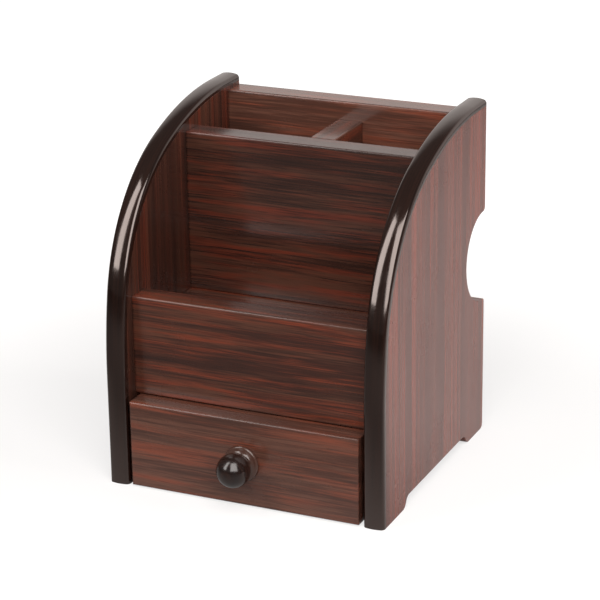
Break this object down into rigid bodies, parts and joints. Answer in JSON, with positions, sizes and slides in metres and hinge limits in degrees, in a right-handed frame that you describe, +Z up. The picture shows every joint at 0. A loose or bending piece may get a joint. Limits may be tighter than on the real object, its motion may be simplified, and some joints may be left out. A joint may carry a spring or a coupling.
{
  "type": "pen stand with drawer",
  "caption": "Desk pen stand with swept side boards and glossy edging, tall pen slots behind a divider, a shallow front compartment and a drawer below that slides out by its turned knob",
  "frame": {"origin": "on the floor, in the middle of the whole outline seen from above, knob included", "axes": "+Z up, -Y is the front with drawer and knob, +X is to the right seen from the front"},
  "size_m": [0.166, 0.1736, 0.2],
  "materials": {
    "board_upright_grain": "satin film, mahogany figure running up",
    "board_level_grain": "satin film, mahogany figure running across",
    "edging_gloss": "high gloss",
    "knob_lacquer": "dark gloss lacquer",
    "drawer_wood": "plain sealed",
    "drawer_bottom_ply": "plain sanded",
    "tongue_beech": "bare",
    "zinc_steel": "zinc plated"
  },
  "bodies": {
    "case": {"left_side_panel": "board_upright_grain", "right_side_panel": "board_upright_grain", "left_edge_moulding": "edging_gloss", "right_edge_moulding": "edging_gloss", "back_panel": "board_level_grain", "middle_divider": "board_level_grain", "pen_partition": "board_level_grain", "front_panel": "board_level_grain", "compartment_floor": "board_level_grain", "bottom_board": "board_level_grain", "left_drawer_kicker": "drawer_wood", "right_drawer_kicker": "drawer_wood", "left_side_tongues": "tongue_beech", "right_side_tongues": "tongue_beech", "partition_tongues": "tongue_beech"},
    "drawer": {"drawer_front": "board_level_grain", "drawer_left_side": "drawer_wood", "drawer_right_side": "drawer_wood", "drawer_back": "drawer_wood", "drawer_bottom": "drawer_bottom_ply", "drawer_knob": "knob_lacquer", "knob_screw": "zinc_steel", "drawer_front_tongues": "tongue_beech", "drawer_back_brads": "zinc_steel"}
  },
  "joints": [
    {"name": "drawer_slide", "type": "slide", "parent": "case", "child": "drawer", "axis": [0, -1, 0], "range_m": [0, 0.095]}
  ]
}
